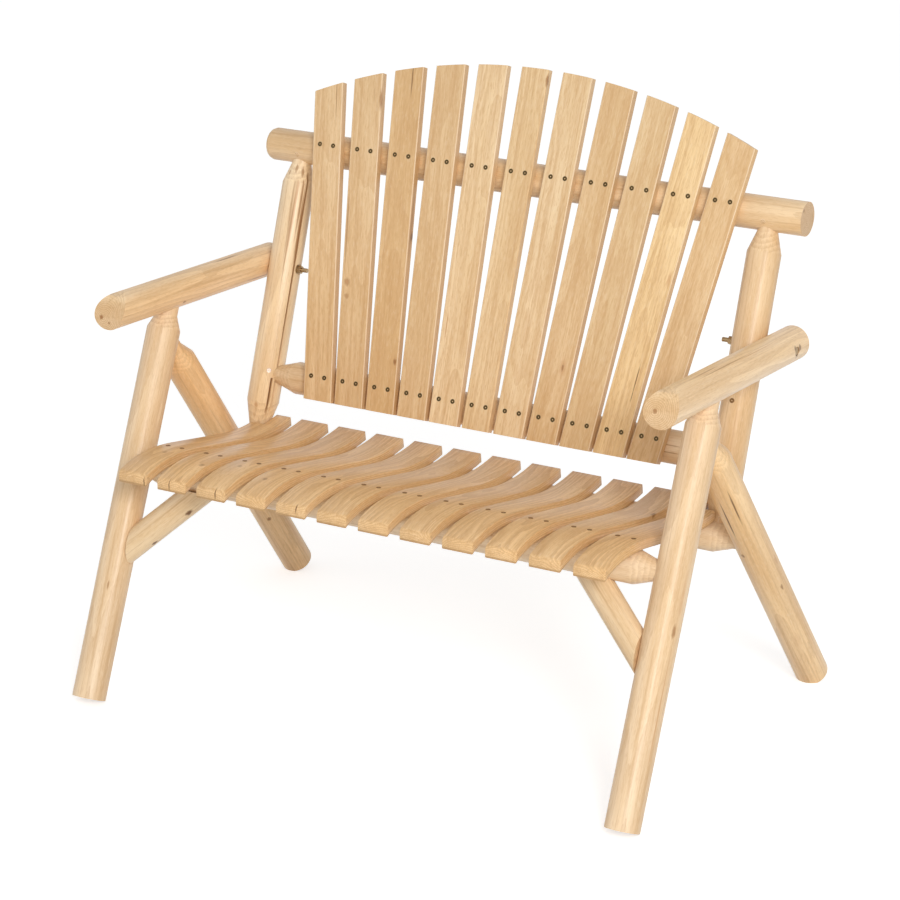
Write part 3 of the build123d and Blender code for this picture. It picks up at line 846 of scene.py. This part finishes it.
def make_metal(name, colour, roughness):
    """Tarnished metal: one colour with fine lighter and darker specks."""
    finish, tree = new_finish(name)
    shader = tree.nodes["Principled BSDF"]
    shader.inputs["Metallic"].default_value = 1.0
    coordinates = tree.nodes.new("ShaderNodeTexCoord")
    specks = stretched_noise(tree, coordinates.outputs["Object"], *speck_grain)
    dull, clean = tinted(colour, [speck_dark] * 3), tinted(colour, [speck_light] * 3)
    tone = mixed(tree, smooth_step(tree, specks, *speck_band), dull, clean)
    tree.links.new(tone, shader.inputs["Base Color"])
    worn = calculate(tree, "MULTIPLY", specks, speck_roughness)
    polished = roughness - speck_roughness / 2
    tree.links.new(calculate(tree, "ADD", worn, polished), shader.inputs["Roughness"])
    add_relief(tree, specks, metal_relief, metal_relief_strength)
    return finish


dark_bronze = make_metal("dark bronze", bronze_dark, 0.45)
dull_bronze = make_metal("dull bronze", bronze_brown, 0.55)
bronze_painted_reflection = make_metal("bronze painted reflection", bronze_reflection_tone, 0.40)
grey_zinc = make_metal("grey zinc", zinc_grey, 0.50)
zinc_painted_glint = make_metal("zinc painted glint", glint_white, 0.35)


def start_round(radius, height, proud):
    """A round blank that stands proud of the origin, in edit mode with its top selected."""
    bpy.ops.object.select_all(action="DESELECT")
    bpy.ops.mesh.primitive_cylinder_add(
        vertices=screw_sides, radius=radius, depth=height, location=(0, 0, proud - height / 2)
    )
    blank = bpy.context.object
    bpy.ops.object.transform_apply(location=True)
    bpy.ops.object.mode_set(mode="EDIT")
    bpy.ops.mesh.select_mode(type="FACE")
    bpy.ops.mesh.select_all(action="DESELECT")
    bpy.ops.object.mode_set(mode="OBJECT")
    for polygon in blank.data.polygons:
        polygon.select = polygon.normal.z > 0.9
    bpy.ops.object.mode_set(mode="EDIT")
    return blank


def model_screw_head():
    """A screw head at the origin that looks up, with a raised rim and a driver recess."""
    head = start_round(head_radius, head_height, head_proud)
    bpy.ops.mesh.inset(thickness=rim_width)
    bpy.ops.transform.translate(value=(0, 0, -head_proud / 2))
    bpy.ops.mesh.inset(thickness=head_radius - rim_width - recess_radius)
    bpy.ops.mesh.inset(thickness=recess_slope)
    bpy.ops.transform.translate(value=(0, 0, -recess_depth))
    bpy.ops.object.mode_set(mode="OBJECT")
    for polygon in head.data.polygons:
        inside_rim = Vector(polygon.center[:2]).length < head_radius - rim_width
        polygon.material_index = 1 if inside_rim else 0
        polygon.use_smooth = False
    return head


screw_head = model_screw_head()


def drive_screws(name, seats, rim, middle):
    """Copies of the screw head at places and looks, joined into one row."""
    row = []
    for place, look in seats:
        screw = screw_head.copy()
        screw.data = screw_head.data.copy()
        scene.collection.objects.link(screw)
        turn = look.to_track_quat("Z", "Y").to_matrix().to_4x4()
        screw.data.transform(Matrix.Translation(place) @ turn)
        row.append(screw)
    bpy.ops.object.select_all(action="DESELECT")
    for screw in row:
        screw.select_set(True)
    bpy.context.view_layer.objects.active = row[0]
    if len(row) > 1:
        bpy.ops.object.join()
    screws = bpy.context.view_layer.objects.active
    screws.name = name
    screws.data.materials.clear()
    screws.data.materials.append(rim)
    screws.data.materials.append(middle)
    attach(screws, "root")


def back_row(up):
    """The pair of places on every back slat, just below a height up the back."""
    face = rear_rail_axis + back_up * (up - back_screw_drop)
    face += back_front * (log_radius + slat_thickness)
    pitch = lower_pitch + fan_spread * (up - lower_screws_up)
    reach = (back_slat_count - 1) / 2
    return [
        (face + bench_across * ((number - reach) * pitch + apart), back_front)
        for number in range(back_slat_count)
        for apart in (-back_screw_apart, back_screw_apart)
    ]


def on_seat(x, from_crest):
    """A place on the seat's top, at a distance behind its crest."""
    return Vector((x, seat_crest_y + from_crest, seat_crest_z - seat_wave(from_crest)))


seat_screw_look = Vector((0, seat_screw_back, hump_curve)).normalized()
seat_reach = (seat_slat_count - 1) / 2
seat_row = [
    (on_seat((number - seat_reach) * seat_pitch + apart, seat_screw_back), seat_screw_look)
    for number in range(seat_slat_count)
    for apart in (-seat_screw_apart, seat_screw_apart)
]
end_slat_row = [
    (on_seat(side * end_slat_screw_x, end_slat_screw_back), end_slat_look) for side in (-1, 1)
]


def post_screw(side, up, swing):
    """A place on a post, swung from its front towards the bench's middle, and its look."""
    turn = math.radians(swing)
    look = back_front * math.cos(turn) - bench_across * side * math.sin(turn)
    place = rear_rail_axis + back_up * up + bench_across * side * back_post_x + look * log_radius
    return place, look


# A head's rim takes the first finish and its middle the second. A lighter middle is a painted
# reflection; a darker rim is partly the metal's own colour and partly painted shade in the
# countersink.
drive_screws("lower_back_screws", back_row(lower_screws_up), dark_bronze, bronze_painted_reflection)
drive_screws("upper_back_screws", back_row(upper_screws_up), dark_bronze, bronze_painted_reflection)
drive_screws("seat_screws", seat_row, dull_bronze, dull_bronze)
drive_screws("end_slat_screws", end_slat_row, dark_bronze, dark_bronze)
left_tenon_row = [post_screw(-1, tenon_screw_up, tenon_screw_swing)]
right_tenon_row = [post_screw(1, tenon_screw_up, tenon_screw_swing)]
right_post_row = [post_screw(1, 0.2283, 0), post_screw(1, 0.234, 38)]
# The left tenon screw's white middle is a painted glint.
drive_screws("left_tenon_screw", left_tenon_row, grey_zinc, zinc_painted_glint)
drive_screws("right_tenon_screw", right_tenon_row, dark_bronze, bronze_painted_reflection)
drive_screws("right_post_screws", right_post_row, dull_bronze, bronze_painted_reflection)
bpy.data.objects.remove(screw_head)

# === Rail plugs ===================================================================
# Two round softwood plugs cover the screws that hold the upper rail to the posts'
# tenons. They are sanded almost flush and show their end grain.
plug_radius = 0.0046
plug_height = 0.004
plug_proud = 0.0002
plug_ease = 0.0007
plug_dome = 0.0003
plug_x = 0.4592
plug_drop = math.radians(12.2)
plug_look = Vector((0, -math.cos(plug_drop), -math.sin(plug_drop)))
plug_ring_width, plug_rings = 0.0022, 0.75
plug_relief = 0.0004


def model_rail_plug():
    """A plug at the origin that looks up, with an eased rim and a slightly domed top."""
    blank = start_round(plug_radius, plug_height, plug_proud)
    bpy.ops.mesh.inset(thickness=plug_ease)
    bpy.ops.transform.translate(value=(0, 0, plug_dome))
    bpy.ops.mesh.inset(thickness=plug_radius / 3)
    bpy.ops.transform.translate(value=(0, 0, plug_dome / 3))
    bpy.ops.object.mode_set(mode="OBJECT")
    return blank


for side_name, side in (("left", -1), ("right", 1)):
    plug = model_rail_plug()
    turn = plug_look.to_track_quat("Z", "Y").to_matrix().to_4x4()
    place = upper_rail_axis + bench_across * side * plug_x + plug_look * log_radius
    plug.data.transform(Matrix.Translation(place) @ turn)
    plug.name = f"rail_plug_{side_name}"
    finish, tree = new_finish(f"{plug.name} wood")
    wood = add_group(tree, softwood, grain_space(tree, place, plug_look, bench_across))
    wood.inputs["Ring Width"].default_value = plug_ring_width
    wood.inputs["Ring Strength"].default_value = plug_rings
    finish_wood(tree, wood.outputs["Color"], wood.outputs["Height"], plug_relief)
    plug.data.materials.append(finish)
    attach(plug, "root")

# === Armrest bolts ================================================================
# A long bolt holds each armrest to its back post. Its head lies in a counterbore on
# the outside, and a washer and a nut tighten it on the inside.
bolt_brass = (0.44, 0.31, 0.17, 1)

aged_brass = make_metal("aged brass", bolt_brass, 0.38)
for hardware in ("arm_bolts", "arm_bolt_washers", "arm_bolt_nuts"):
    dress(hardware, aged_brass)
